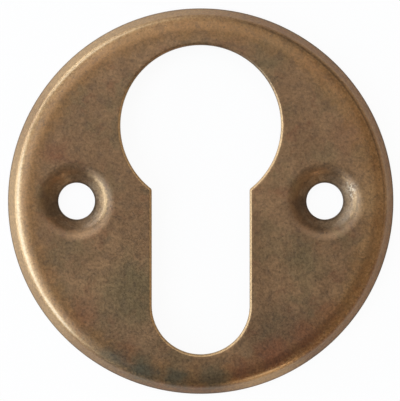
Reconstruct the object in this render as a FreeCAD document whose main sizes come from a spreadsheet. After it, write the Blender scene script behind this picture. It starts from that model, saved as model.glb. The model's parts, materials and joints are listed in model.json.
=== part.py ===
# Round keyhole escutcheon for a profile cylinder, pressed from one disc of brass sheet.
#
# The sheet is drawn into a shallow dish: a flat face, a rounded shoulder, a tight bend and a
# sloping skirt whose foot stands on the door. Two conical seats are sunk into the face for
# countersunk screws, and the keyhole is punched through it for the lock cylinder.
#
# Lengths are in millimetres and angles in degrees. The escutcheon lies on its back: the foot
# of the skirt is at z = 0, the face looks along +Z, the screws lie along X and the eye of the
# keyhole is towards +Y. The origin is the middle of the disc, on the plane of the door.

import FreeCAD, Part
import math
import os
import Sketcher

# Driving dimensions

SIZES = {
    "barrel_diameter": (17.0, "of the lock cylinder's round barrel"),
    "leg_width": (10.0, "of the lock cylinder's leg"),
    "cylinder_height": (33.0, "from the top of the barrel to the end of the leg"),
    "barrel_clearance": (0.2, "between the barrel and the keyhole"),
    "leg_clearance": (0.3, "between the leg and the keyhole, at its sides and its end"),
    "corner_rounding": (0.4, "in plan, where the keyhole's eye meets its slot"),
    "edge_break": (0.2, "of the keyhole's punched edge, on the face"),
    "web_above_eye": (4.1, "from the keyhole's eye to the edge of the disc"),
    "web_below_slot": (4.4, "from the end of the keyhole's slot to the edge of the disc"),
    "overall_height": (2.4, "from the door to the face"),
    "sheet_thickness": (0.7, "of the brass sheet, the same all over"),
    "skirt_tilt": (64.0, "angle between the skirt and the face"),
    "crease_tilt": (30.0, "angle between the sheet and the face where the shoulder meets the bend"),
    "bend_inside_radius": (0.2, "inside the tight bend between the shoulder and the skirt"),
    "shoulder_inside_radius": (2.3, "inside the rounded shoulder"),
    "flat_beside_seat": (0.526, "of the face, between a screw seat and the shoulder"),
    "screw_hole_diameter": (4.0, "through hole for the screw's shank"),
    "countersink_angle": (90.0, "full angle of the screw seat's cone"),
    "seat_inside_radius": (1.3, "inside the lip that rolls from the face into the seat"),
    "seat_door_gap": (0.2, "from the underside of the seat to the door"),
}

# Sizes that follow from them, as expressions of the sheet's cells

EYE_RADIUS = "(Sizes.barrel_diameter / 2 + Sizes.barrel_clearance)"
SLOT_RADIUS = "(Sizes.leg_width / 2 + Sizes.leg_clearance)"
EYE_TO_SLOT_END = "(Sizes.cylinder_height - Sizes.barrel_diameter / 2 - Sizes.leg_width / 2)"
KEYHOLE_HEIGHT = f"({EYE_RADIUS} + {EYE_TO_SLOT_END} + {SLOT_RADIUS})"
DISC_RADIUS = f"((Sizes.web_above_eye + {KEYHOLE_HEIGHT} + Sizes.web_below_slot) / 2)"
EYE_PLACE = f"({DISC_RADIUS} - Sizes.web_above_eye - {EYE_RADIUS})"

SHOULDER_RADIUS = "(Sizes.shoulder_inside_radius + Sizes.sheet_thickness)"
SHOULDER_TILT = "(Sizes.crease_tilt * 1 deg)"
SHOULDER_WIDTH = f"({SHOULDER_RADIUS} * sin({SHOULDER_TILT}))"
SHOULDER_DROP = f"({SHOULDER_RADIUS} * (1 - cos({SHOULDER_TILT})))"
BEND_RADIUS = "(Sizes.bend_inside_radius + Sizes.sheet_thickness)"
SKIRT_TILT = "(Sizes.skirt_tilt * 1 deg)"
BEND_WIDTH = f"({BEND_RADIUS} * (sin({SKIRT_TILT}) - sin({SHOULDER_TILT})))"
BEND_DROP = f"({BEND_RADIUS} * (cos({SHOULDER_TILT}) - cos({SKIRT_TILT})))"
SKIRT_HEIGHT = f"(Sizes.overall_height - {SHOULDER_DROP} - {BEND_DROP})"
SKIRT_WIDTH = f"({SKIRT_HEIGHT} / tan({SKIRT_TILT}))"
FACE_RADIUS = f"({DISC_RADIUS} - {SKIRT_WIDTH} - {BEND_WIDTH} - {SHOULDER_WIDTH})"

SCREW_HOLE_RADIUS = "(Sizes.screw_hole_diameter / 2)"
SEAT_FLOOR = "(Sizes.seat_door_gap + Sizes.sheet_thickness)"
CONE_TILT = "((90 - Sizes.countersink_angle / 2) * 1 deg)"
LIP_RADIUS = "(Sizes.seat_inside_radius + Sizes.sheet_thickness)"
LIP_DROP = f"({LIP_RADIUS} * (1 - cos({CONE_TILT})))"
LIP_WIDTH = f"({LIP_RADIUS} * sin({CONE_TILT}))"
CONE_WIDTH = f"((Sizes.overall_height - {LIP_DROP} - {SEAT_FLOOR}) / tan({CONE_TILT}))"
SEAT_RADIUS = f"({SCREW_HOLE_RADIUS} + {CONE_WIDTH} + {LIP_WIDTH})"
SCREW_PLACE = f"({FACE_RADIUS} - Sizes.flat_beside_seat - {SEAT_RADIUS})"


def fill_sheet(document):
    """Write each driving dimension to a row: its alias, its number and what it measures."""
    sheet = document.addObject("Spreadsheet::Sheet", "Sizes")
    for row, (alias, (number, meaning)) in enumerate(SIZES.items(), start=1):
        sheet.set("A%d" % row, alias)
        sheet.set("B%d" % row, str(number))
        sheet.set("C%d" % row, meaning)
        sheet.setAlias("B%d" % row, alias)


def amount(item, expression):
    """What an expression of the sheet's cells comes to, in millimetres or degrees."""
    result = item.evalExpression(expression)
    return getattr(result, "Value", result)


# Sketching

# The sketcher numbers the points of a line or an arc, and its own axes, like this
START, END, CENTRE = range(1, 4)
HORIZONTAL_AXIS, VERTICAL_AXIS = range(-1, -3, -1)
ORIGIN = (HORIZONTAL_AXIS, START)


def origin_plane(body, role):
    return next(feature for feature in body.Origin.OriginFeatures if feature.Role == role)


def new_sketch(body, name, role):
    """An empty sketch on one of the body's own origin planes."""
    sketch = body.newObject("Sketcher::SketchObject", name)
    sketch.AttachmentSupport = [(origin_plane(body, role), "")]
    sketch.MapMode = "FlatFace"
    return sketch


def line(sketch, start, end, construction=False):
    segment = Part.LineSegment(FreeCAD.Vector(*start, 0), FreeCAD.Vector(*end, 0))
    return sketch.addGeometry(segment, construction)


def circle(centre, radius):
    return Part.Circle(FreeCAD.Vector(*centre, 0), FreeCAD.Vector(0, 0, 1), radius)


def arc(sketch, centre, radius, start_angle, end_angle):
    """An arc running anticlockwise between two angles in degrees."""
    start, end = math.radians(start_angle), math.radians(end_angle)
    return sketch.addGeometry(Part.ArcOfCircle(circle(centre, radius), start, end), False)


def constrain(sketch, *rule):
    sketch.addConstraint(Sketcher.Constraint(*rule))


def dimension(sketch, name, expression, kind, *ends):
    """A named dimension that stays bound to an expression of the sheet's cells."""
    value = amount(sketch, expression)
    if kind == "Angle":
        value = math.radians(value)
    index = sketch.addConstraint(Sketcher.Constraint(kind, *ends, value))
    sketch.renameConstraint(index, name)
    sketch.setExpression("Constraints." + name, expression)


def polar(centre, radius, angle):
    """The point at an angle in degrees on a circle."""
    turn = math.radians(angle)
    return (centre[0] + radius * math.cos(turn), centre[1] + radius * math.sin(turn))


# The pressing's outside: face, shoulder, bend and skirt

def draw_outside(body):
    """Half the section of the dish's outside, from the axis out to the foot of the skirt."""
    sketch = new_sketch(body, "OutsideSection", "XZ_Plane")
    face = amount(sketch, "Sizes.overall_height")
    skirt_angle = amount(sketch, f"90 deg - {SKIRT_TILT}")
    crease_angle = amount(sketch, f"90 deg - {SHOULDER_TILT}")
    shoulder_radius = amount(sketch, SHOULDER_RADIUS)
    bend_radius = amount(sketch, BEND_RADIUS)

    foot = (amount(sketch, DISC_RADIUS), 0)
    skirt_top = (foot[0] - amount(sketch, SKIRT_WIDTH), amount(sketch, SKIRT_HEIGHT))
    bend_centre = polar(skirt_top, -bend_radius, skirt_angle)
    shoulder_centre = (amount(sketch, FACE_RADIUS), face - shoulder_radius)
    crease = polar(shoulder_centre, shoulder_radius, crease_angle)

    axis = line(sketch, (0, 0), (0, face))
    top = line(sketch, (0, face), (shoulder_centre[0], face))
    shoulder = arc(sketch, shoulder_centre, shoulder_radius, crease_angle, 90)
    bend = arc(sketch, bend_centre, bend_radius, skirt_angle, crease_angle)
    skirt = line(sketch, foot, skirt_top)
    base = line(sketch, (0, 0), foot)
    crease_spoke = line(sketch, shoulder_centre, crease, construction=True)

    constrain(sketch, "Coincident", axis, START, *ORIGIN)
    constrain(sketch, "Coincident", base, START, *ORIGIN)
    constrain(sketch, "PointOnObject", axis, END, VERTICAL_AXIS)
    constrain(sketch, "PointOnObject", base, END, HORIZONTAL_AXIS)
    constrain(sketch, "Coincident", axis, END, top, START)
    constrain(sketch, "Horizontal", top)
    constrain(sketch, "Tangent", top, END, shoulder, END)
    constrain(sketch, "Tangent", shoulder, START, bend, END)
    constrain(sketch, "Tangent", bend, START, skirt, END)
    constrain(sketch, "Coincident", skirt, START, base, END)
    constrain(sketch, "Coincident", crease_spoke, START, shoulder, CENTRE)
    constrain(sketch, "Coincident", crease_spoke, END, shoulder, START)

    dimension(sketch, "FaceHeight", "Sizes.overall_height", "DistanceY", axis, START, axis, END)
    dimension(sketch, "FootRadius", DISC_RADIUS, "DistanceX", base, START, base, END)
    dimension(sketch, "SkirtAngle", f"180 deg - {SKIRT_TILT}", "Angle", skirt)
    dimension(sketch, "CreaseAngle", f"90 deg - {SHOULDER_TILT}", "Angle", crease_spoke)
    dimension(sketch, "ShoulderRadius", SHOULDER_RADIUS, "Radius", shoulder)
    dimension(sketch, "BendRadius", BEND_RADIUS, "Radius", bend)
    return sketch


# The seats sunk into the face for the countersunk screws

def draw_seat(body):
    """Half the section of the hollow that one seat leaves in the face, beside the screw's axis."""
    sketch = new_sketch(body, "SeatSection", "XZ_Plane")
    face = amount(sketch, "Sizes.overall_height")
    clear_of_face = face + amount(sketch, "Sizes.sheet_thickness")
    screw_x = amount(sketch, SCREW_PLACE)
    floor = amount(sketch, SEAT_FLOOR)
    floor_edge = (screw_x + amount(sketch, SCREW_HOLE_RADIUS), floor)
    lip_radius = amount(sketch, LIP_RADIUS)
    lip_centre = (screw_x + amount(sketch, SEAT_RADIUS), face - lip_radius)
    cone_angle = amount(sketch, f"90 deg + {CONE_TILT}")
    cone_top = polar(lip_centre, lip_radius, cone_angle)

    axis = line(sketch, (screw_x, floor), (screw_x, clear_of_face))
    bottom = line(sketch, (screw_x, floor), floor_edge)
    cone = line(sketch, floor_edge, cone_top)
    lip = arc(sketch, lip_centre, lip_radius, 90, cone_angle)
    riser = line(sketch, (lip_centre[0], face), (lip_centre[0], clear_of_face))
    lid = line(sketch, (screw_x, clear_of_face), (lip_centre[0], clear_of_face))

    constrain(sketch, "Vertical", axis)
    constrain(sketch, "Coincident", axis, START, bottom, START)
    constrain(sketch, "Horizontal", bottom)
    constrain(sketch, "Coincident", bottom, END, cone, START)
    constrain(sketch, "Tangent", cone, END, lip, END)
    constrain(sketch, "Coincident", lip, START, riser, START)
    constrain(sketch, "Vertical", lip, CENTRE, lip, START)
    constrain(sketch, "Vertical", riser)
    constrain(sketch, "Coincident", riser, END, lid, END)
    constrain(sketch, "Horizontal", lid)
    constrain(sketch, "Coincident", lid, START, axis, END)

    dimension(sketch, "ScrewPlace", SCREW_PLACE, "DistanceX", *ORIGIN, bottom, START)
    dimension(sketch, "FloorHeight", SEAT_FLOOR, "DistanceY", *ORIGIN, bottom, START)
    dimension(sketch, "FloorRadius", SCREW_HOLE_RADIUS, "DistanceX", bottom, START, bottom, END)
    dimension(sketch, "ConeAngle", CONE_TILT, "Angle", cone)
    dimension(sketch, "LipRadius", LIP_RADIUS, "Radius", lip)
    dimension(sketch, "LipHeight", "Sizes.overall_height", "DistanceY", *ORIGIN, lip, START)
    dimension(sketch, "LidHeight", "Sizes.sheet_thickness", "DistanceY", riser, START, riser, END)
    return sketch


# The punched holes

def draw_keyhole(body):
    """The lock cylinder's section with clearance round it: an eye, and a slot with a round end."""
    sketch = new_sketch(body, "KeyholeOutline", "XY_Plane")
    eye_radius = amount(sketch, EYE_RADIUS)
    slot_radius = amount(sketch, SLOT_RADIUS)
    corner_radius = amount(sketch, "Sizes.corner_rounding")
    eye_y = amount(sketch, EYE_PLACE)
    slot_end = eye_y - amount(sketch, EYE_TO_SLOT_END)

    # Each corner's centre lies in the metal, one rounding clear of the eye and of the slot
    corner_x = slot_radius + corner_radius
    corner_drop = math.sqrt((eye_radius + corner_radius) ** 2 - corner_x ** 2)
    corner_y = eye_y - corner_drop
    eye_start = math.degrees(math.atan2(-corner_drop, corner_x))
    corner_start = 180 + eye_start

    eye = arc(sketch, (0, eye_y), eye_radius, eye_start, 180 - eye_start)
    right_corner = arc(sketch, (corner_x, corner_y), corner_radius, corner_start, 180)
    left_corner = arc(sketch, (-corner_x, corner_y), corner_radius, 0, 180 - corner_start)
    right_side = line(sketch, (slot_radius, corner_y), (slot_radius, slot_end))
    left_side = line(sketch, (-slot_radius, corner_y), (-slot_radius, slot_end))
    end = arc(sketch, (0, slot_end), slot_radius, 180, 360)

    constrain(sketch, "PointOnObject", eye, CENTRE, VERTICAL_AXIS)
    constrain(sketch, "PointOnObject", end, CENTRE, VERTICAL_AXIS)
    constrain(sketch, "Tangent", eye, START, right_corner, START)
    constrain(sketch, "Tangent", right_corner, END, right_side, START)
    constrain(sketch, "Tangent", right_side, END, end, END)
    constrain(sketch, "Tangent", eye, END, left_corner, END)
    constrain(sketch, "Tangent", left_corner, START, left_side, START)
    constrain(sketch, "Tangent", left_side, END, end, START)
    constrain(sketch, "Vertical", right_side)
    constrain(sketch, "Vertical", left_side)
    constrain(sketch, "Equal", left_corner, right_corner)

    dimension(sketch, "EyePlace", EYE_PLACE, "DistanceY", *ORIGIN, eye, CENTRE)
    dimension(sketch, "EyeRadius", EYE_RADIUS, "Radius", eye)
    dimension(sketch, "SlotRadius", SLOT_RADIUS, "Radius", end)
    dimension(sketch, "EyeToSlotEnd", EYE_TO_SLOT_END, "DistanceY", end, CENTRE, eye, CENTRE)
    dimension(sketch, "CornerRadius", "Sizes.corner_rounding", "Radius", right_corner)
    return sketch


def draw_screw_holes(body):
    """Two round holes, one at the bottom of each seat."""
    sketch = new_sketch(body, "ScrewHoles", "XY_Plane")
    screw_x = amount(sketch, SCREW_PLACE)
    radius = amount(sketch, SCREW_HOLE_RADIUS)
    right = sketch.addGeometry(circle((screw_x, 0), radius), False)
    left = sketch.addGeometry(circle((-screw_x, 0), radius), False)
    constrain(sketch, "PointOnObject", right, CENTRE, HORIZONTAL_AXIS)
    constrain(sketch, "Symmetric", right, CENTRE, left, CENTRE, *ORIGIN)
    constrain(sketch, "Equal", left, right)
    dimension(sketch, "ScrewPlace", SCREW_PLACE, "DistanceX", *ORIGIN, right, CENTRE)
    dimension(sketch, "HoleRadius", SCREW_HOLE_RADIUS, "Radius", right)
    return sketch


def check_cut(feature, volume_before):
    """A cut that points away from the metal leaves it whole without any error."""
    if not feature.Shape.Volume < volume_before:
        raise RuntimeError(feature.Name + " cuts nothing")


def punch(body, name, outline):
    """Cut an outline on the door's plane up through the whole pressing."""
    volume_before = body.Tip.Shape.Volume
    pocket = body.newObject("PartDesign::Pocket", name)
    pocket.Profile = outline
    pocket.Type = "ThroughAll"
    pocket.Reversed = True
    body.Document.recompute()
    check_cut(pocket, volume_before)


# Picking faces and edges of the pressing

# How far off a level or an outline an edge may lie and still count
REACH = 0.01


def level_with(box, height):
    return abs(box.ZMin - height) < REACH and abs(box.ZMax - height) < REACH


def back_face(shape):
    """The name of the flat face on the door's plane."""
    for number, face in enumerate(shape.Faces, start=1):
        if level_with(face.BoundBox, 0):
            return "Face%d" % number
    raise RuntimeError("no face lies on the door's plane")


def rim_edges(shape, outline, height):
    """The names of the edges at a height that lie within an outline's own box, seen from above."""
    reach = outline.BoundBox
    reach.enlarge(REACH)
    names = []
    for number, edge in enumerate(shape.Edges, start=1):
        box = edge.BoundBox
        across = reach.XMin < box.XMin and box.XMax < reach.XMax
        along = reach.YMin < box.YMin and box.YMax < reach.YMax
        if level_with(box, height) and across and along:
            names.append("Edge%d" % number)
    return names


# The one piece

def make_escutcheon_plate(document):
    """The brass plate: draw the dish, sink the seats, hollow the back and punch the holes."""
    body = document.addObject("PartDesign::Body", "EscutcheonPlate")
    body.Label = "escutcheon_plate"
    body.Placement = FreeCAD.Placement()

    outside = draw_outside(body)
    dish = body.newObject("PartDesign::Revolution", "Dish")
    dish.Profile = outside
    dish.ReferenceAxis = (outside, ["V_Axis"])
    document.recompute()

    seat_section = draw_seat(body)
    seat = body.newObject("PartDesign::Groove", "ScrewSeat")
    seat.Profile = seat_section
    seat.ReferenceAxis = (seat_section, ["Edge1"])
    document.recompute()
    check_cut(seat, dish.Shape.Volume)

    seats = body.newObject("PartDesign::Mirrored", "ScrewSeats")
    seats.Originals = [seat]
    seats.MirrorPlane = (origin_plane(body, "YZ_Plane"), [""])
    body.Tip = seats
    document.recompute()
    check_cut(seats, seat.Shape.Volume)

    sheet_metal = body.newObject("PartDesign::Thickness", "SheetMetal")
    sheet_metal.Base = (seats, [back_face(seats.Shape)])
    sheet_metal.Reversed = True
    sheet_metal.Mode = "Skin"
    sheet_metal.Join = "Intersection"
    sheet_metal.setExpression("Value", "Sizes.sheet_thickness")
    document.recompute()
    check_cut(sheet_metal, seats.Shape.Volume)

    keyhole = draw_keyhole(body)
    punch(body, "Keyhole", keyhole)
    punch(body, "ScrewHolesPunched", draw_screw_holes(body))

    punched = body.Tip
    face_height = amount(body, "Sizes.overall_height")
    broken_edge = body.newObject("PartDesign::Chamfer", "KeyholeEdge")
    broken_edge.Base = (punched, rim_edges(punched.Shape, keyhole.Shape, face_height))
    broken_edge.setExpression("Size", "Sizes.edge_break")
    document.recompute()
    check_cut(broken_edge, punched.Shape.Volume)
    return body


def check_document(document):
    """Stop on any object that failed to recompute."""
    for item in document.Objects:
        if "Invalid" in item.State or "Error" in item.State:
            raise RuntimeError("%s failed: %s" % (item.Label, item.State))


def write_part(body):
    """Write one sub-part's shape to the file that carries its name."""
    shape = body.Shape
    if shape.isNull() or not shape.isValid() or len(shape.Solids) != 1:
        raise RuntimeError(body.Label + " is not one sound solid")
    shape.exportStep(os.path.join("parts", body.Label + ".step"))


document = FreeCAD.newDocument("KeyholeEscutcheon")
fill_sheet(document)
document.recompute()
plate = make_escutcheon_plate(document)
check_document(document)
os.makedirs("parts", exist_ok=True)
write_part(plate)
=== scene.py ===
"""Aged brass keyhole escutcheon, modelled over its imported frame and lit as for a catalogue.

The plate is one pressing: its section is drawn with a point and turned on a lathe, the screw
seats are turned in the same way, and the flat of the face is filled between them and the
keyhole. Lengths are in metres, with the middle of the disc on the floor at the origin, the
face towards +Z, the screws along X and the eye of the keyhole towards +Y.
"""

import json
import math

import bmesh
import bpy
from bpy.props import FloatProperty, FloatVectorProperty, PointerProperty
from bpy.types import Operator, Panel, PropertyGroup
from mathutils import Matrix, Vector


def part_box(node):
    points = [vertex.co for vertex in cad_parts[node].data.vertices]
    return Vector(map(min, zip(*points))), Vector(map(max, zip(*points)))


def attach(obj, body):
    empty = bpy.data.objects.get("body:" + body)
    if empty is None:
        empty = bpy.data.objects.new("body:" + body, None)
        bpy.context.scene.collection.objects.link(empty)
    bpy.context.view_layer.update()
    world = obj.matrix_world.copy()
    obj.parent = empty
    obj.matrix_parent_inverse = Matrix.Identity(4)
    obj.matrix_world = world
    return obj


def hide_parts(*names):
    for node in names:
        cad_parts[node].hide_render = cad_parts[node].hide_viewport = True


bl_info = {
    "name": "Keyhole Escutcheon",
    "version": (1, 0, 0),
    "blender": (4, 5, 0),
    "location": "View3D > Sidebar > Escutcheon",
    "description": "Models a pressed brass escutcheon with its aged finish, and a stage for it",
    "category": "Add Mesh",
}

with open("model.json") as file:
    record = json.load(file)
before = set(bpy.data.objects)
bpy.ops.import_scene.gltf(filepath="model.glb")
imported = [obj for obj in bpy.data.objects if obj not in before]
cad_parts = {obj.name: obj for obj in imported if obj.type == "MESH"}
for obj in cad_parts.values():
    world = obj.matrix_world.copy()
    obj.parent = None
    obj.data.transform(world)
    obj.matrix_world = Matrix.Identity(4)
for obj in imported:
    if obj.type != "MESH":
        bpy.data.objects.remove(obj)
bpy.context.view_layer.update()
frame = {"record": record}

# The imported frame, which the sizes below start from

MM = 0.001
PLATE_NODE = "escutcheon_plate"
WEAR_AND_HIGHLIGHT = "rubbed_and_lit"
PLATE_TOP_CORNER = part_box(PLATE_NODE)[1]


def mount(name):
    return next(entry for entry in frame["record"]["mounts"] if entry["name"] == name)


SCREWS = mount("screw_holes")["dims"]
EYE = mount("keyhole_eye")

X_AXIS = Vector((1, 0, 0))
Y_AXIS = Vector((0, 1, 0))
Z_AXIS = Vector((0, 0, 1))
QUARTER_TURN = math.pi / 2
HALF_TURN = math.pi
FULL_TURN = 2 * math.pi

MERGE_DISTANCE = 0.001 * MM
FLAT_BORDER = 0.2 * MM
FLOOR_GAP = 0.01 * MM
SHARPEST_SMOOTH = math.radians(32)


# Sizes and colours that a user would change


def length_size(name, description, default):
    return FloatProperty(
        name=name, description=description, default=default, min=0.0, precision=5, unit="LENGTH"
    )


def angle_size(name, description, degrees):
    return FloatProperty(
        name=name, description=description, default=math.radians(degrees), subtype="ANGLE"
    )


def colour(name, description, default):
    return FloatVectorProperty(
        name=name, description=description, default=default, size=3, min=0.0, max=1.0,
        subtype="COLOR",
    )


class EscutcheonPlateSizes(PropertyGroup):
    disc_radius: length_size(
        "Disc Radius", "From the middle to the edge of the disc", PLATE_TOP_CORNER.x)
    face_height: length_size(
        "Face Height", "From the door to the flat of the face", PLATE_TOP_CORNER.z)
    sheet_thickness: length_size(
        "Sheet Thickness", "Thickness of the brass sheet, the same all over", 0.7 * MM)
    skirt_tilt: angle_size(
        "Skirt Tilt", "Angle between the skirt and the face", 64.0)
    crease_tilt: angle_size(
        "Crease Tilt", "Tilt of the sheet where the shoulder meets the tight bend", 30.0)
    shoulder_radius: length_size(
        "Shoulder Radius", "Outside radius of the rounded shoulder", 3.0 * MM)
    bend_radius: length_size(
        "Bend Radius", "Outside radius of the tight bend above the skirt", 0.9 * MM)
    foot_radius: length_size(
        "Foot Radius", "Rounding of the skirt's outer edge, where it meets the door", 0.12 * MM)
    screw_place: length_size(
        "Screw Place", "From the middle of the disc to each screw", SCREWS["spacing_x_mm"] / 2 * MM)
    screw_hole_radius: length_size(
        "Screw Hole Radius", "Radius of each screw hole", SCREWS["hole_r_mm"] * MM)
    cone_tilt: angle_size(
        "Cone Tilt", "Slope of the cone that the screw head sits in", 45.0)
    lip_radius: length_size(
        "Lip Radius", "Outside radius of the lip that rolls from the face into a seat", 2.0 * MM)
    hole_edge_radius: length_size(
        "Hole Edge Radius", "Rounding where a seat's cone meets its hole", 0.1 * MM)
    seat_gap: length_size(
        "Seat Gap", "From the underside of a seat to the door", 0.2 * MM)
    eye_place: length_size(
        "Eye Place", "From the middle of the disc up to the middle of the keyhole's eye",
        EYE["pos_m"][1])
    eye_radius: length_size(
        "Eye Radius", "Radius of the keyhole's eye", EYE["dims"]["r_mm"] * MM)
    slot_radius: length_size(
        "Slot Radius", "Half the width of the keyhole's slot", 5.3 * MM)
    eye_to_slot_end: length_size(
        "Eye to Slot End", "From the middle of the eye down to the middle of the slot's round end",
        19.5 * MM)
    corner_radius: length_size(
        "Corner Radius", "Rounding in plan where the eye meets the slot", 0.4 * MM)
    edge_roll: length_size(
        "Edge Roll", "Rounding of the keyhole's punched edge, on the face", 0.28 * MM)


class EscutcheonFinishColours(PropertyGroup):
    patina_brown: colour(
        "Brown Patina", "The patina over most of the plate", (0.216, 0.121, 0.057))
    patina_tan: colour(
        "Tan Patina", "The lighter clouds in the patina", (0.325, 0.190, 0.092))
    patina_olive: colour(
        "Olive Patina", "The greenish clouds in the patina", (0.138, 0.107, 0.050))
    patina_red: colour(
        "Red Patina", "The reddish clouds in the patina", (0.200, 0.076, 0.035))
    verdigris: colour(
        "Verdigris", "The dark green film along the bottom", (0.076, 0.078, 0.050))
    # The dark specks and veins, which also give the painted shade on the cones, in the crease and
    # along the foot
    grime_and_shade: colour(
        "Grime", "The dark specks and veins", (0.060, 0.042, 0.030))
    patina_golden: colour(
        "Golden Patina", "The thin orange patina round the shoulder", (0.270, 0.134, 0.045))
    seat_grey: colour(
        "Seat Grey", "The dull metal under the screw heads", (0.330, 0.226, 0.132))
    # Rubbed brass, which also carries the painted highlight and painted reflection along the rim
    # and on the seat lips
    bare_brass_and_highlight: colour(
        "Rubbed Brass", "The metal where the patina has rubbed thin", (0.480, 0.300, 0.140))
    # Polished brass in the nick, and the painted highlight along the crest of the rim, towards the
    # lamps
    polished_brass_and_highlight: colour(
        "Polished Brass", "The crest of the rim, where hands keep it bright", (0.720, 0.560, 0.370))


class EscutcheonStageSizes(PropertyGroup):
    view_height: length_size(
        "View Height", "How much of the floor the picture takes in, from top to bottom", 43.71 * MM)
    camera_height: length_size(
        "Camera Height", "From the floor to the camera", 300.0 * MM)
    camera_x: FloatProperty(
        name="Camera X", description="How far right of the middle the camera stands",
        default=-0.076 * MM, precision=6, unit="LENGTH")
    camera_y: FloatProperty(
        name="Camera Y", description="How far above the middle the camera stands",
        default=0.066 * MM, precision=6, unit="LENGTH")
    floor_size: length_size(
        "Floor Size", "Width of the square floor", 4.0)
    floor_glow: FloatProperty(
        name="Floor Glow", description="Share of the floor's white that takes no shadow",
        default=0.94, min=0.0, max=1.0, subtype="FACTOR")
    floor_sheen: FloatProperty(
        name="Floor Sheen",
        description="The same share in what the metal mirrors, which sees more shadow",
        default=0.05, min=0.0, max=1.0, subtype="FACTOR")
    room_level: FloatProperty(
        name="Room Level", description="Brightness of the room all round", default=0.16, min=0.0)


# Drawing with a point, as by hand in edit mode


def select_edges(piece, wanted):
    """Select just the edges that a test picks."""
    bpy.ops.mesh.select_mode(type="EDGE")
    bpy.ops.mesh.select_all(action="DESELECT")
    mesh = bmesh.from_edit_mesh(piece.data)
    for edge in mesh.edges:
        edge.select_set(wanted(edge))
    bmesh.update_edit_mesh(piece.data)


class Pen:
    """A point that draws a line as it is pushed straight on or spun round an arc."""

    def __init__(self, name, start, heading, axis):
        bpy.ops.object.select_all(action="DESELECT")
        bpy.ops.mesh.primitive_plane_add(size=MM, location=(0, 0, 0))
        self.piece = bpy.context.object
        self.piece.name = name
        bpy.ops.object.mode_set(mode="EDIT")
        bpy.ops.mesh.select_mode(type="VERT")
        bpy.ops.mesh.merge(type="CENTER")
        bpy.ops.transform.translate(value=start)
        self.place = Vector(start)
        self.heading = Vector(heading)
        self.axis = axis

    def straight(self, length):
        shift = self.heading * length
        bpy.ops.mesh.extrude_region_move(TRANSFORM_OT_translate={"value": shift})
        self.place += shift

    def corner(self, angle):
        self.heading.rotate(Matrix.Rotation(angle, 3, self.axis))

    def arc(self, radius, angle, steps):
        """Spin on by an angle, to the left of the heading where it is positive."""
        centre = self.place + self.axis.cross(self.heading) * math.copysign(radius, angle)
        bpy.ops.mesh.spin(
            steps=steps, angle=-angle, use_auto_merge=False, center=centre, axis=self.axis)
        self.place = centre + Matrix.Rotation(angle, 3, self.axis) @ (self.place - centre)
        self.corner(angle)

    def lathe(self, centre, steps):
        """Turn the whole drawing once round an upright axis, and leave edit mode."""
        bpy.ops.mesh.select_all(action="SELECT")
        bpy.ops.mesh.spin(
            steps=steps, angle=FULL_TURN, use_auto_merge=True, center=centre, axis=Z_AXIS)
        bpy.ops.mesh.select_all(action="SELECT")
        bpy.ops.mesh.remove_doubles(threshold=MERGE_DISTANCE)
        bpy.ops.object.mode_set(mode="OBJECT")
        return self.piece


# The pressing


def press_rim(sizes):
    """The shoulder, the tight bend and the skirt, with the foot that stands on the door."""
    thickness = sizes.sheet_thickness
    shoulder, bend, foot = sizes.shoulder_radius, sizes.bend_radius, sizes.foot_radius
    sin_crease, cos_crease = math.sin(sizes.crease_tilt), math.cos(sizes.crease_tilt)
    sin_skirt, cos_skirt = math.sin(sizes.skirt_tilt), math.cos(sizes.skirt_tilt)

    shoulder_drop = shoulder * (1 - cos_crease)
    bend_drop = bend * (cos_crease - cos_skirt)
    foot_drop = foot * (1 + cos_skirt)
    skirt = (sizes.face_height - shoulder_drop - bend_drop - foot_drop) / sin_skirt
    face_radius = (
        sizes.disc_radius - foot * (1 - sin_skirt) - skirt * cos_skirt
        - bend * (sin_skirt - sin_crease) - shoulder * sin_crease
    )
    foot_flat = thickness / sin_skirt - foot / math.tan(sizes.skirt_tilt / 2)
    inner_bend = bend - thickness
    bend_centre_height = sizes.face_height - shoulder_drop - bend * cos_crease
    inner_skirt = (bend_centre_height + inner_bend * cos_skirt) / sin_skirt

    pen = Pen("rim", (face_radius, 0, sizes.face_height), X_AXIS, Y_AXIS)
    pen.arc(shoulder, sizes.crease_tilt, steps=10)
    pen.arc(bend, sizes.skirt_tilt - sizes.crease_tilt, steps=8)
    pen.straight(skirt)
    pen.arc(foot, HALF_TURN - sizes.skirt_tilt, steps=6)
    pen.straight(foot_flat)
    pen.corner(sizes.skirt_tilt)
    pen.straight(inner_skirt)
    pen.arc(inner_bend, sizes.crease_tilt - sizes.skirt_tilt, steps=4)
    pen.arc(shoulder - thickness, -sizes.crease_tilt, steps=6)
    return pen.lathe(centre=(0, 0, 0), steps=256), face_radius + shoulder * sin_crease


def seat_radius(sizes):
    """From a screw's axis to where its seat's lip leaves the flat of the face."""
    lip_drop = sizes.lip_radius * (1 - math.cos(sizes.cone_tilt))
    cone_drop = sizes.face_height - lip_drop - sizes.seat_gap - sizes.sheet_thickness
    cone_width = cone_drop / math.tan(sizes.cone_tilt)
    return sizes.screw_hole_radius + cone_width + sizes.lip_radius * math.sin(sizes.cone_tilt)


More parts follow.
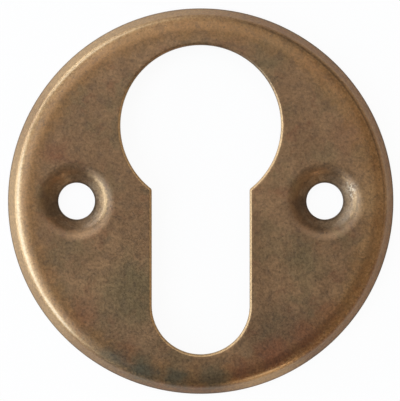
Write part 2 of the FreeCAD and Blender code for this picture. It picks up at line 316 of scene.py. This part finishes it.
def sink_seat(sizes):
    """The right screw's seat: the lip, the cone and the hole, and their underside."""
    thickness, lip, tilt = sizes.sheet_thickness, sizes.lip_radius, sizes.cone_tilt
    edge, edge_turn = sizes.hole_edge_radius, QUARTER_TURN - tilt
    edge_cut = edge * math.tan(edge_turn / 2)
    lip_drop = lip * (1 - math.cos(tilt))
    cone_drop = sizes.face_height - lip_drop - sizes.seat_gap - thickness
    cone = cone_drop / math.sin(tilt) - edge_cut
    under_lip = lip - thickness
    land = thickness * math.tan(edge_turn / 2)
    under_lip_drop = under_lip * (1 - math.cos(tilt))
    under_cone_drop = sizes.face_height - thickness - sizes.seat_gap - under_lip_drop

    start = (sizes.screw_place + seat_radius(sizes), 0, sizes.face_height)
    pen = Pen("right_seat", start, -X_AXIS, Y_AXIS)
    pen.arc(lip, -tilt, steps=12)
    pen.straight(cone)
    pen.arc(edge, -edge_turn, steps=4)
    pen.straight(thickness - edge_cut)
    pen.corner(-QUARTER_TURN)
    pen.straight(land)
    pen.corner(-tilt)
    pen.straight(under_cone_drop / math.sin(tilt))
    pen.arc(under_lip, tilt, steps=6)
    return pen.lathe(centre=(sizes.screw_place, 0, 0), steps=128)


def copy_seat(seat, sizes):
    """The left screw's seat is the right one again, moved along the line of the screws."""
    bpy.ops.object.select_all(action="DESELECT")
    seat.select_set(True)
    bpy.context.view_layer.objects.active = seat
    bpy.ops.object.duplicate()
    bpy.ops.object.mode_set(mode="EDIT")
    bpy.ops.mesh.select_all(action="SELECT")
    bpy.ops.transform.translate(value=(-2 * sizes.screw_place, 0, 0))
    bpy.ops.object.mode_set(mode="OBJECT")
    return bpy.context.object


def cut_keyhole(sizes):
    """The punched wall of the keyhole, drawn round its eye and slot and pushed down."""
    eye, slot, corner = sizes.eye_radius, sizes.slot_radius, sizes.corner_radius
    corner_drop = math.sqrt((eye + corner) ** 2 - (slot + corner) ** 2)
    corner_turn = math.acos((slot + corner) / (eye + corner))
    slot_side = sizes.eye_to_slot_end - corner_drop

    start = (slot, sizes.eye_place - sizes.eye_to_slot_end, sizes.face_height)
    pen = Pen("keyhole", start, Y_AXIS, Z_AXIS)
    pen.straight(slot_side)
    pen.arc(corner, -corner_turn, steps=4)
    pen.arc(eye, HALF_TURN + 2 * corner_turn, steps=144)
    pen.arc(corner, -corner_turn, steps=4)
    pen.straight(slot_side)
    pen.arc(slot, HALF_TURN, steps=64)
    bpy.ops.mesh.select_all(action="SELECT")
    bpy.ops.mesh.remove_doubles(threshold=MERGE_DISTANCE)
    bpy.ops.mesh.select_all(action="SELECT")
    bpy.ops.mesh.extrude_region_move(
        TRANSFORM_OT_translate={"value": (0, 0, -sizes.sheet_thickness)})
    bpy.ops.object.mode_set(mode="OBJECT")
    return pen.piece


def join_pieces(name, pieces):
    """Make one mesh of several that meet edge to edge, and stay in edit mode."""
    bpy.ops.object.select_all(action="DESELECT")
    for piece in pieces:
        piece.select_set(True)
    bpy.context.view_layer.objects.active = pieces[0]
    bpy.ops.object.join()
    joined = bpy.context.object
    joined.name = name
    joined.data.name = name
    bpy.ops.object.mode_set(mode="EDIT")
    return joined


def is_level(item, height):
    """Whether all of an edge or a face lies at a height."""
    return all(abs(vertex.co.z - height) < MERGE_DISTANCE for vertex in item.verts)


def fill_sheet(plate, height):
    """Fill the flat between all the open edges at a height."""
    select_edges(plate, lambda edge: is_level(edge, height) and len(edge.link_faces) < 2)
    bpy.ops.mesh.fill(use_beauty=True)


def roll_keyhole_edge(plate, sizes):
    """Round the punched edge on the face, where the keyhole's wall meets the flat."""
    def is_punched(edge):
        wall_below = any(abs(face.normal.z) < 0.5 for face in edge.link_faces)
        return wall_below and is_level(edge, sizes.face_height)

    mesh = bmesh.from_edit_mesh(plate.data)
    mesh.normal_update()
    select_edges(plate, is_punched)
    bpy.ops.mesh.bevel(offset=sizes.edge_roll, segments=5, profile=0.5, affect="EDGES")


def border_face(plate, height, border):
    """Run a narrow border along every edge of the flat, so that the bends shade cleanly."""
    bpy.ops.mesh.select_mode(type="FACE")
    bpy.ops.mesh.select_all(action="DESELECT")
    mesh = bmesh.from_edit_mesh(plate.data)
    for face in mesh.faces:
        face.select_set(is_level(face, height))
    bmesh.update_edit_mesh(plate.data)
    bpy.ops.mesh.inset(thickness=border, use_boundary=True)


# Wear and painted highlight, which go into the finish as an attribute of the mesh

# Places round the rim: the heading in degrees, from +X towards +Y, and the reach on either side
# Painted highlight is laid as wear round the rim: these mark where it dims, where it spreads wide
# and where it is strongest low on the left, the bottom, which stays darker, and a golden spot low
# on the right
DULL_SPOT = (153, 22)
WIDE_HIGHLIGHT = (195, 50)
LOW_LEFT_HIGHLIGHT = (218, 26)
DARKER_BOTTOM = (262, 35)
LOW_RIGHT_SPOT = (291, 23)

# The heading where the rim is brightest, towards the lamps, and how its wear and painted highlight
# fall off from there round the rim
BRIGHTEST_HEADING = 160
HIGHLIGHT_MEAN = 0.35
HIGHLIGHT_SWING = 0.75
DULLED_BY = 0.35

# Wear and painted reflection on the skirt, from the side away from the lamps to the side towards
# them, and slight wear anywhere but along the bottom, which stays darker
SKIRT_LEAST = 0.12
SKIRT_MOST = 0.90
SLIGHT_WEAR = 0.38

# How far wear and painted highlight reach from the crease: out over the bend, and in over the
# shoulder
BEND_REACH = 0.45 * MM
NARROW_REACH = 0.38 * MM
WIDE_REACH = 1.0 * MM
SLIGHT_REACH = 1.3 * MM

# The painted highlight on a seat's lip, laid as wear: its heading and reach round the screw, the
# place of its middle as a share of the lip's radius, and its reach to either side
LIP_HIGHLIGHT = (12, 100)
LIP_CROWN = 0.6
LIP_REACH = 0.6 * MM
LEFT_LIP_HIGHLIGHT = 0.95
RIGHT_LIP_HIGHLIGHT = 0.6

# The punched edge wears out to this many times its roll, and is darker over the top of the eye,
# painted shade where the edge faces towards -Y; the heights there are shares of the eye's radius
# above its middle
EDGE_REACH = 1.5
EYE_TOP_SHADE = 0.9
KEEPS_FROM = 0.1
KEEPS_SPAN = 0.7


def bump(offset, reach):
    """A smooth hill: 1 where the offset is nothing, and 0 beyond its reach."""
    return math.cos(min(abs(offset) / reach, 1) * QUARTER_TURN) ** 2


def around(heading, middle, reach):
    """A smooth hill round a heading, whose middle and reach are in degrees."""
    turn = (heading - math.radians(middle) + HALF_TURN) % FULL_TURN - HALF_TURN
    return bump(turn, math.radians(reach))


def clamped(value):
    return min(max(value, 0), 1)


def rim_rub_and_highlight(heading):
    """How much the rim is rubbed and carries painted highlight: most along the left, towards the
    lamps, and at one spot low on the right.
    """
    from_most = heading - math.radians(BRIGHTEST_HEADING)
    left = clamped(HIGHLIGHT_MEAN + HIGHLIGHT_SWING * math.cos(from_most))
    left *= 1 - DULLED_BY * around(heading, *DULL_SPOT)
    return max(left, around(heading, *LOW_LEFT_HIGHLIGHT), around(heading, *LOW_RIGHT_SPOT))


def rim_wear_and_highlight(place, crease_radius):
    """Wear over the skirt, along the crease and on into the shoulder, with painted highlight and
    painted reflection stronger and wider along the left, towards the lamps.
    """
    heading = math.atan2(place.y, place.x)
    rub_and_highlight = rim_rub_and_highlight(heading)
    slight = SLIGHT_WEAR * (1 - around(heading, *DARKER_BOTTOM))
    offset = math.hypot(place.x, place.y) - crease_radius
    if offset > 0:
        skirt = SKIRT_LEAST + (SKIRT_MOST - SKIRT_LEAST) * rub_and_highlight
        return max(rub_and_highlight * bump(offset, BEND_REACH), skirt, slight)
    reach = NARROW_REACH + (WIDE_REACH - NARROW_REACH) * around(heading, *WIDE_HIGHLIGHT)
    return max(rub_and_highlight * bump(offset, reach), slight * bump(offset, SLIGHT_REACH))


def seat_lip_highlight(place, sizes):
    """Painted highlight on the crown of a seat's lip, laid as wear on its right, which faces the
    lamps, and less of it on the right seat.
    """
    from_screw = Vector((place.x - math.copysign(sizes.screw_place, place.x), place.y))
    crown = seat_radius(sizes) - LIP_CROWN * sizes.lip_radius
    side = around(math.atan2(from_screw.y, from_screw.x), *LIP_HIGHLIGHT)
    strength = LEFT_LIP_HIGHLIGHT if place.x < 0 else RIGHT_LIP_HIGHLIGHT
    return strength * side * bump(from_screw.length - crown, LIP_REACH)


def edge_wear_and_shade(place, sizes):
    """Wear on the rolled edge of the keyhole, with painted shade over the top of its eye, where the
    edge faces towards -Y.
    """
    reach = EDGE_REACH * sizes.edge_roll
    slot_end = sizes.eye_place - sizes.eye_to_slot_end
    in_eye = math.hypot(place.x, place.y - sizes.eye_place) < sizes.eye_radius + reach
    in_slot = abs(place.x) < sizes.slot_radius + reach and slot_end < place.y < sizes.eye_place
    in_end = math.hypot(place.x, place.y - slot_end) < sizes.slot_radius + reach
    if not (in_eye or in_slot or in_end):
        return 0.0
    height_in_eye = (place.y - sizes.eye_place) / sizes.eye_radius
    return 1 - EYE_TOP_SHADE * clamped((height_in_eye - KEEPS_FROM) / KEEPS_SPAN)


def paint_wear_and_highlight(plate, sizes, crease_radius):
    """Mark where hands and screws rub the patina thin, and where highlight, reflection and shade
    are painted: rim, seats and punched edge.
    """
    rubbed_and_lit = []
    for vertex in plate.data.vertices:
        place, up = vertex.co, vertex.normal.z
        wear_and_highlight = max(rim_wear_and_highlight(place, crease_radius), seat_lip_highlight(place, sizes))
        near_face = sizes.face_height - place.z < 0.6 * sizes.sheet_thickness
        on_roll = 0.05 < up < 0.995
        if near_face and on_roll:
            wear_and_highlight = max(wear_and_highlight, edge_wear_and_shade(place, sizes))
        faces_up = up > 0.01
        rubbed_and_lit.append(wear_and_highlight if faces_up else 0.0)
    layer = plate.data.attributes.new(WEAR_AND_HIGHLIGHT, "FLOAT", "POINT")
    layer.data.foreach_set("value", rubbed_and_lit)


# The whole plate


def finish_mesh(plate):
    """Close the mesh, turn its faces outwards and shade it as bent sheet with crisp flats."""
    bpy.ops.mesh.select_all(action="SELECT")
    bpy.ops.mesh.remove_doubles(threshold=MERGE_DISTANCE)
    bpy.ops.mesh.normals_make_consistent(inside=False)
    bpy.ops.object.mode_set(mode="OBJECT")
    bpy.ops.object.shade_smooth_by_angle(angle=SHARPEST_SMOOTH)
    bpy.ops.object.modifier_add(type="WEIGHTED_NORMAL")
    weights = plate.modifiers[-1]
    weights.keep_sharp = True
    bpy.ops.object.modifier_apply(modifier=weights.name)


def model_plate(sizes):
    seat = sink_seat(sizes)
    rim, crease_radius = press_rim(sizes)
    pieces = [rim, seat, copy_seat(seat, sizes), cut_keyhole(sizes)]
    plate = join_pieces("aged_brass_plate", pieces)
    fill_sheet(plate, sizes.face_height)
    fill_sheet(plate, sizes.face_height - sizes.sheet_thickness)
    roll_keyhole_edge(plate, sizes)
    border_face(plate, sizes.face_height, FLAT_BORDER)
    finish_mesh(plate)
    paint_wear_and_highlight(plate, sizes, crease_radius)
    return plate


# Nodes and masks for the finish

COLOUR_MIX_INPUTS = (0, 6, 7)
COLOUR_MIX_OUTPUT = 2


def feed(tree, socket, value):
    """Give a socket its value: another node's output, a colour or a number."""
    if isinstance(value, bpy.types.NodeSocket):
        tree.links.new(value, socket)
    elif socket.type == "RGBA":
        socket.default_value = (*value, 1.0)
    else:
        socket.default_value = value


def add_node(tree, kind, *values, **settings):
    """A node with values for its first sockets, then its own settings and sockets by name."""
    node = tree.nodes.new(kind)
    for socket, value in zip(node.inputs, values):
        feed(tree, socket, value)
    for name, value in settings.items():
        if name in node.inputs:
            feed(tree, node.inputs[name], value)
        else:
            setattr(node, name, value)
    return node


def between(tree, value, low, high):
    """A soft mask of a value: 0 at low and 1 at high."""
    spread = add_node(
        tree, "ShaderNodeMapRange", value, low, high, interpolation_type="SMOOTHSTEP")
    return spread.outputs["Result"]


def stretched(tree, mask, low, high):
    """A mask from 0 to 1 made to run from low to high."""
    return add_node(tree, "ShaderNodeMapRange", mask, 0.0, 1.0, low, high).outputs["Result"]


def clouds(tree, place, size, seed, low, high, detail=5.0, roughness=0.6):
    """Soft patches of a given size: 0 where the noise is under low and 1 where it is over high."""
    noise = add_node(
        tree, "ShaderNodeTexNoise", noise_dimensions="4D", Vector=place, W=seed, Scale=1 / size,
        Detail=detail, Roughness=roughness)
    return between(tree, noise.outputs["Fac"], low, high)


def times(tree, mask, other):
    """A mask let through only where another is, or made weaker or stronger by a number."""
    return add_node(tree, "ShaderNodeMath", mask, other, operation="MULTIPLY").outputs[0]


def strongest(tree, one, other):
    """The stronger of two masks at each place."""
    return add_node(tree, "ShaderNodeMath", one, other, operation="MAXIMUM").outputs[0]


def mix_colours(tree, mode, under, over, mask):
    mix = add_node(tree, "ShaderNodeMix", data_type="RGBA", blend_type=mode)
    for index, value in zip(COLOUR_MIX_INPUTS, (mask, under, over)):
        feed(tree, mix.inputs[index], value)
    return mix.outputs[COLOUR_MIX_OUTPUT]


def patch(tree, place, centre, reach):
    """A stain round a place on the plate: 1 in its middle and 0 beyond its reach."""
    distance = add_node(tree, "ShaderNodeVectorMath", place, centre, operation="DISTANCE")
    return between(tree, distance.outputs["Value"], reach, 0.2 * reach)


def distance_out(tree, place, axis_x=0.0):
    """How far a place lies from an upright axis on the line of the screws, on either side."""
    level = add_node(tree, "ShaderNodeVectorMath", place, (1, 1, 0), operation="MULTIPLY")
    folded = add_node(tree, "ShaderNodeVectorMath", level.outputs[0], operation="ABSOLUTE")
    distance = add_node(
        tree, "ShaderNodeVectorMath", folded.outputs[0], (axis_x, 0, 0), operation="DISTANCE")
    return distance.outputs["Value"]


def ring(tree, radius, inner, outer):
    """A soft ring: it sets in over its inner border and fades over its outer one."""
    return times(tree, between(tree, radius, *inner), between(tree, radius, *outer))


def ragged(tree, place, size, shift):
    """The place on the plate, shifted to and fro so that what is laid there has ragged edges."""
    noise = add_node(
        tree, "ShaderNodeTexNoise", Vector=place, Scale=1 / size, Detail=6.0, Roughness=0.65)
    centred = add_node(
        tree, "ShaderNodeVectorMath", noise.outputs["Color"], (0.5, 0.5, 0.5),
        operation="SUBTRACT")
    moved = add_node(
        tree, "ShaderNodeVectorMath", centred.outputs[0], (shift, shift, 0.0), place,
        operation="MULTIPLY_ADD")
    return moved.outputs[0]


# The aged finish


class Patina:
    """The plate's colour, built up by laying one tone over another through masks."""

    def __init__(self, tree, base):
        self.tree = tree
        self.tone = base
        self.place = add_node(tree, "ShaderNodeTexCoord").outputs["Object"]
        self.drift = ragged(tree, self.place, size=1.6 * MM, shift=3.2 * MM)
        self.radius = distance_out(tree, self.place)

    def lay(self, colour, mask, strength):
        """Lay a colour over what is there, where a mask lets it through."""
        mask = times(self.tree, mask, strength)
        self.tone = mix_colours(self.tree, "MIX", self.tone, colour, mask)


# How much further the metal is rubbed between the grains of patina that still cling

LOOSENED = 0.28

# Borders in the finish, by distance from the middle of the disc: from where a tone isn't seen to
# where it is full

SHOULDER_BORDER = (16.8 * MM, 18.8 * MM)
SKIRT_BORDER = (19.85 * MM, 20.05 * MM)
FOOT_SHADE_BORDER = (20.82 * MM, 20.96 * MM)
CREST_BORDERS = ((19.35 * MM, 19.70 * MM), (20.02 * MM, 19.86 * MM))
CREASE_SHADE_BORDERS = ((19.72 * MM, 19.86 * MM), (20.00 * MM, 19.88 * MM))
RIDGE_BORDERS = ((19.96 * MM, 20.06 * MM), (20.38 * MM, 20.22 * MM))

# The same by distance from a screw's axis

CONE_BORDER = (3.20 * MM, 2.70 * MM)
HOLE_BORDER = (2.30 * MM, 2.08 * MM)

# The stains and dark patches on the plate, by colour: the middle on the face and the reach, both in
# millimetres, and the strength

STAINS = {
    "bare_brass_and_highlight": (((19.0, 0.6), 3.6, 0.26), ((18.6, -4.6), 2.6, 0.16)),
    # These broad dark patches make the plate darker towards the bottom
    "grime_and_shade": (
        ((9.0, -15.5), 7.0, 0.30), ((-8.5, -16.0), 7.0, 0.22), ((10.5, -3.0), 5.0, 0.08),
        ((0.0, -19.5), 5.0, 0.12),
    ),
    "patina_olive": (
        ((-7.6, -9.8), 5.0, 0.60), ((11.5, -6.5), 3.5, 0.35), ((7.4, 15.6), 3.2, 0.30),
    ),
    "patina_red": (
        ((8.0, -17.0), 3.2, 0.85), ((11.6, -14.6), 2.8, 0.65), ((13.8, -12.2), 2.2, 0.45),
        ((4.6, -18.4), 2.2, 0.75), ((-12.6, -12.2), 2.6, 0.40), ((-15.6, 5.4), 2.2, 0.45),
        ((-8.0, -16.2), 2.0, 0.40), ((15.4, 6.8), 2.6, 0.30),
    ),
    "verdigris": (
        ((-9.4, -17.2), 2.2, 0.60), ((-6.4, -18.5), 2.6, 0.80), ((-2.6, -19.2), 2.4, 0.75),
        ((1.4, -19.2), 2.4, 0.60),
    ),
}
STAIN_HEIGHT = 2.2 * MM

# Other places in the finish, each by its middle and its reach

UPPER_RIGHT = ((16.0 * MM, 11.0 * MM, 2.0 * MM), 21.0 * MM)
NICK = ((16.4 * MM, 1.4 * MM, 1.8 * MM), 1.1 * MM)
# Painted shade on the left side of each seat's cone
CONE_SHADOWS = (
    ((-16.1 * MM, -0.3 * MM, 1.7 * MM), 2.0 * MM),
    ((10.9 * MM, -0.3 * MM, 1.7 * MM), 2.0 * MM),
)


def lay_clouds(patina, finish):
    """Broad clouds over the whole plate."""
    tree, place, drift = patina.tree, patina.place, patina.drift
    tan = clouds(tree, place, size=5.0 * MM, seed=3.0, low=0.44, high=0.64)
    patina.lay(finish.patina_tan, tan, strength=0.60)
    olive = clouds(tree, drift, size=3.4 * MM, seed=9.0, low=0.48, high=0.64)
    patina.lay(finish.patina_olive, olive, strength=0.36)
    red = clouds(tree, drift, size=2.0 * MM, seed=14.0, low=0.52, high=0.68)
    patina.lay(finish.patina_red, red, strength=0.40)


def lay_bands(patina, finish):
    """Thin golden patina over the shoulder, and red-brown with golden streaks down the skirt."""
    tree, drift = patina.tree, patina.drift
    shoulder = between(tree, distance_out(tree, drift), *SHOULDER_BORDER)
    patina.lay(finish.patina_golden, shoulder, strength=0.70)
    skirt = between(tree, patina.radius, *SKIRT_BORDER)
    patina.lay(finish.patina_red, skirt, strength=0.65)
    streaks = clouds(tree, drift, size=0.55 * MM, seed=61.0, low=0.44, high=0.62, detail=4.0)
    patina.lay(finish.patina_golden, times(tree, skirt, streaks), strength=0.60)


def lay_stains(patina, finish):
    for colour, stains in STAINS.items():
        for (x, y), reach, strength in stains:
            centre = (x * MM, y * MM, STAIN_HEIGHT)
            mask = patch(patina.tree, patina.drift, centre, reach * MM)
            patina.lay(getattr(finish, colour), mask, strength)


def lay_cones(patina, finish):
    """Blotched grey under the screw heads, with grime round the holes, and painted shade on the
    left side of each cone.
    """
    tree, drift = patina.tree, patina.drift
    from_screw = distance_out(tree, patina.place, SCREWS["spacing_x_mm"] / 2 * MM)
    cone = between(tree, from_screw, *CONE_BORDER)
    blotches = clouds(tree, drift, size=0.9 * MM, seed=52.0, low=0.40, high=0.62)
    blotches = stretched(tree, blotches, low=0.30, high=0.90)
    patina.lay(finish.seat_grey, cone, strength=blotches)
    patina.lay(finish.grime_and_shade, between(tree, from_screw, *HOLE_BORDER), strength=0.50)
    for centre, reach in CONE_SHADOWS:
        patina.lay(finish.grime_and_shade, patch(tree, drift, centre, reach), strength=0.50)


def lay_specks(patina, finish):
    """Dark veins and specks all over."""
    tree = patina.tree
    veins = clouds(tree, patina.drift, size=0.8 * MM, seed=21.0, low=0.46, high=0.66, detail=4.0)
    patina.lay(finish.grime_and_shade, veins, strength=0.34)
    specks = clouds(tree, patina.place, size=0.30 * MM, seed=27.0, low=0.60, high=0.70, detail=2.0)
    patina.lay(finish.grime_and_shade, specks, strength=0.55)


def lay_wear_and_highlight(patina, finish):
    """Metal rubbed bright, with grains of patina that still cling, where wear and painted highlight
    are marked, and a painted highlight brightest on the crest along the left.
    """
    tree = patina.tree
    wear_and_highlight = add_node(tree, "ShaderNodeAttribute", attribute_name=WEAR_AND_HIGHLIGHT).outputs["Fac"]
    loose = clouds(
        tree, patina.place, size=0.22 * MM, seed=41.0, low=0.34, high=0.66, detail=3.0)
    worn_and_lit = add_node(
        tree, "ShaderNodeMath", loose, LOOSENED, wear_and_highlight, operation="MULTIPLY_ADD").outputs[0]
    patina.lay(finish.bare_brass_and_highlight, between(tree, worn_and_lit, low=0.24, high=1.20), strength=1.0)
    crest = ring(tree, patina.radius, *CREST_BORDERS)
    crest_highlight = between(tree, wear_and_highlight, low=0.60, high=0.95)
    patina.lay(finish.polished_brass_and_highlight, times(tree, crest, crest_highlight), strength=0.42)


def lay_crease_shade_and_ridge(patina, finish):
    """A dark line of painted shade in the crease, with a light ridge outside it, both at the upper
    right, away from the lamps.
    """
    tree = patina.tree
    upper_right = patch(tree, patina.place, *UPPER_RIGHT)
    crease_shade = ring(tree, patina.radius, *CREASE_SHADE_BORDERS)
    patina.lay(finish.grime_and_shade, times(tree, crease_shade, upper_right), strength=0.55)
    ridge = ring(tree, patina.radius, *RIDGE_BORDERS)
    patina.lay(finish.bare_brass_and_highlight, times(tree, ridge, upper_right), strength=0.28)


def lay_nick(patina, finish):
    """The nick in the right seat's lip, where the patina is torn."""
    tree = patina.tree
    nick = patch(tree, patina.drift, *NICK)
    torn = clouds(tree, patina.place, size=0.24 * MM, seed=67.0, low=0.47, high=0.55, detail=3.0)
    patina.lay(finish.grime_and_shade, nick, strength=0.50)
    patina.lay(finish.polished_brass_and_highlight, times(tree, nick, torn), strength=0.50)


def lay_foot_shade(patina, finish):
    """Painted shade along the very edge of the disc, where the foot turns under."""
    foot = between(patina.tree, patina.radius, *FOOT_SHADE_BORDER)
    patina.lay(finish.grime_and_shade, foot, strength=0.55)


def roughen(tree, shader, place, grain):
    """Ripples of the press and the grain of the patina, in how the metal catches light."""
    feed(tree, shader.inputs["Roughness"], stretched(tree, grain, low=0.40, high=0.52))
    ripple = clouds(tree, place, size=1.4 * MM, seed=47.0, low=0.2, high=0.8, detail=2.0)
    rippled = add_node(tree, "ShaderNodeBump", Strength=0.35, Distance=0.05 * MM, Height=ripple)
    grained = add_node(
        tree, "ShaderNodeBump", Strength=0.30, Distance=0.012 * MM, Height=grain,
        Normal=rippled.outputs["Normal"])
    feed(tree, shader.inputs["Normal"], grained.outputs["Normal"])


def make_aged_brass(finish):
    material = bpy.data.materials.new("aged_brass_patina")
    material.use_nodes = True
    tree = material.node_tree
    shader = tree.nodes["Principled BSDF"]

    patina = Patina(tree, finish.patina_brown)
    for lay in (lay_clouds, lay_bands, lay_stains, lay_cones, lay_specks, lay_wear_and_highlight, lay_crease_shade_and_ridge,
                lay_nick, lay_foot_shade):
        lay(patina, finish)

    grain = clouds(
        tree, patina.place, size=0.26 * MM, seed=33.0, low=0.34, high=0.66, detail=4.0,
        roughness=0.75)
    shade = stretched(tree, grain, low=0.78, high=1.22)
    grey = add_node(tree, "ShaderNodeCombineColor", shade, shade, shade).outputs[0]
    tone = mix_colours(tree, "MULTIPLY", patina.tone, grey, mask=1.0)
    feed(tree, shader.inputs["Base Color"], tone)
    shader.inputs["Metallic"].default_value = 0.88
    shader.inputs["Specular Tint"].default_value = (1.0, 0.86, 0.70, 1.0)
    shader.inputs["Coat Weight"].default_value = 0.35
    shader.inputs["Coat Roughness"].default_value = 0.32
    roughen(tree, shader, patina.place, grain)
    return material


# The stage

PLAIN_LIGHT = (1.0, 1.0, 1.0)
COOL_LIGHT = (0.84, 1.0, 1.22)
WARM_LIGHT = (1.0, 0.74, 0.46)

# The lamps: name, image angle, zenith, distance, width, height, radiance and tint
LAMPS = (
    ("overhead", 262, 28, 0.8, 0.75, 0.65, 1.58, PLAIN_LIGHT),
    ("key", 163, 45, 0.5, 0.42, 0.26, 3.0, COOL_LIGHT),
    ("upper_key", 214, 38, 0.5, 0.34, 0.18, 1.5, COOL_LIGHT),
    ("low_key", 147, 66, 0.5, 0.26, 0.20, 3.2, COOL_LIGHT),
    ("window", 200, 84, 0.6, 1.10, 0.26, 5.2, COOL_LIGHT),
    ("top_window", 254, 68, 0.6, 0.36, 0.20, 1.1, PLAIN_LIGHT),
    ("fill", 4, 54, 0.8, 1.30, 0.80, 0.42, WARM_LIGHT),
    ("glint", 69, 70, 0.5, 0.12, 0.08, 8.0, WARM_LIGHT),
)


def add_softbox(name, image_angle, zenith, distance, width, height, radiance, tint):
    """A flat lamp aimed at the plate.

    It hangs at an angle round the picture, 0 at the right and 90 at the bottom, and leans from
    straight overhead by its zenith, both in degrees.
    """
    turn, lean = math.radians(-image_angle), math.radians(zenith)
    across, up = math.sin(lean), math.cos(lean)
    away = Vector((across * math.cos(turn), across * math.sin(turn), up))
    bpy.ops.object.light_add(type="AREA", location=away * distance)
    lamp = bpy.context.object
    lamp.name = name
    lamp.rotation_euler = away.to_track_quat("Z", "Y").to_euler()
    lamp.data.shape = "RECTANGLE"
    lamp.data.size = width
    lamp.data.size_y = height
    lamp.data.energy = radiance * math.pi * width * height
    lamp.data.color = tint


def make_floor_white(glow, sheen):
    """A white that the camera sees as lit, and that still takes the plate's shadow."""
    material = bpy.data.materials.new("floor_white")
    material.use_nodes = True
    tree = material.node_tree
    tree.nodes.remove(tree.nodes["Principled BSDF"])
    rays = add_node(tree, "ShaderNodeLightPath").outputs
    share = strongest(
        tree, times(tree, rays["Is Camera Ray"], glow), times(tree, rays["Is Glossy Ray"], sheen))
    share = strongest(tree, share, times(tree, rays["Is Transmission Ray"], glow))
    paint = add_node(tree, "ShaderNodeBsdfDiffuse", Color=(0.8, 0.8, 0.8)).outputs[0]
    light = add_node(tree, "ShaderNodeEmission", Color=(1, 1, 1), Strength=1.0).outputs[0]
    mix = add_node(tree, "ShaderNodeMixShader", share, paint, light)
    tree.links.new(mix.outputs[0], tree.nodes["Material Output"].inputs["Surface"])
    return material


def add_floor(stage):
    bpy.ops.object.select_all(action="DESELECT")
    bpy.ops.mesh.primitive_plane_add(size=stage.floor_size, location=(0, 0, -FLOOR_GAP))
    floor = bpy.context.object
    floor.name = "floor"
    floor.data.materials.append(make_floor_white(stage.floor_glow, stage.floor_sheen))


def add_camera(stage):
    """Look straight down on the plate, with +Y at the top of the picture."""
    bpy.ops.object.camera_add(
        location=(stage.camera_x, stage.camera_y, stage.camera_height), rotation=(0, 0, 0))
    camera = bpy.context.object
    camera.name = "catalogue_camera"
    camera.data.lens = camera.data.sensor_width * stage.camera_height / stage.view_height
    camera.data.clip_start = 10 * MM
    camera.data.clip_end = 10.0
    bpy.context.scene.camera = camera


def light_room(stage):
    world = bpy.data.worlds.new("room")
    world.use_nodes = True
    background = world.node_tree.nodes["Background"]
    background.inputs["Color"].default_value = (1, 1, 1, 1)
    background.inputs["Strength"].default_value = stage.room_level
    bpy.context.scene.world = world
    for lamp in LAMPS:
        add_softbox(*lamp)


# Operators, panel and registration


class ESCUTCHEON_OT_plate(Operator):
    """Press the brass plate, with its screw seats and keyhole, and age it"""

    bl_idname = "escutcheon.plate"
    bl_label = "Press Plate"
    bl_options = {"REGISTER", "UNDO"}

    def execute(self, context):
        plate = model_plate(context.scene.escutcheon_plate)
        plate.data.materials.clear()
        plate.data.materials.append(make_aged_brass(context.scene.escutcheon_finish))
        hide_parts(PLATE_NODE)
        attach(plate, "root")
        return {"FINISHED"}


class ESCUTCHEON_OT_stage(Operator):
    """Lay the white floor, hang the lamps and set the camera over the plate"""

    bl_idname = "escutcheon.stage"
    bl_label = "Set Stage"
    bl_options = {"REGISTER", "UNDO"}

    def execute(self, context):
        stage = context.scene.escutcheon_stage
        add_floor(stage)
        light_room(stage)
        add_camera(stage)
        context.scene.view_settings.view_transform = "Standard"
        return {"FINISHED"}


class ESCUTCHEON_PT_sidebar(Panel):
    bl_label = "Keyhole Escutcheon"
    bl_idname = "ESCUTCHEON_PT_sidebar"
    bl_space_type = "VIEW_3D"
    bl_region_type = "UI"
    bl_category = "Escutcheon"

    def draw(self, context):
        scene = context.scene
        for group, operator in (
            (scene.escutcheon_plate, ESCUTCHEON_OT_plate),
            (scene.escutcheon_finish, None),
            (scene.escutcheon_stage, ESCUTCHEON_OT_stage),
        ):
            box = self.layout.box()
            for name in group.__annotations__:
                box.prop(group, name)
            if operator:
                box.operator(operator.bl_idname)


CLASSES = (
    EscutcheonPlateSizes,
    EscutcheonFinishColours,
    EscutcheonStageSizes,
    ESCUTCHEON_OT_plate,
    ESCUTCHEON_OT_stage,
    ESCUTCHEON_PT_sidebar,
)


def register():
    for item in CLASSES:
        bpy.utils.register_class(item)
    bpy.types.Scene.escutcheon_plate = PointerProperty(type=EscutcheonPlateSizes)
    bpy.types.Scene.escutcheon_finish = PointerProperty(type=EscutcheonFinishColours)
    bpy.types.Scene.escutcheon_stage = PointerProperty(type=EscutcheonStageSizes)


def unregister():
    del bpy.types.Scene.escutcheon_stage
    del bpy.types.Scene.escutcheon_finish
    del bpy.types.Scene.escutcheon_plate
    for item in reversed(CLASSES):
        bpy.utils.unregister_class(item)


def main():
    register()
    bpy.ops.escutcheon.plate()
    bpy.ops.escutcheon.stage()


if __name__ == "__main__":
    main()
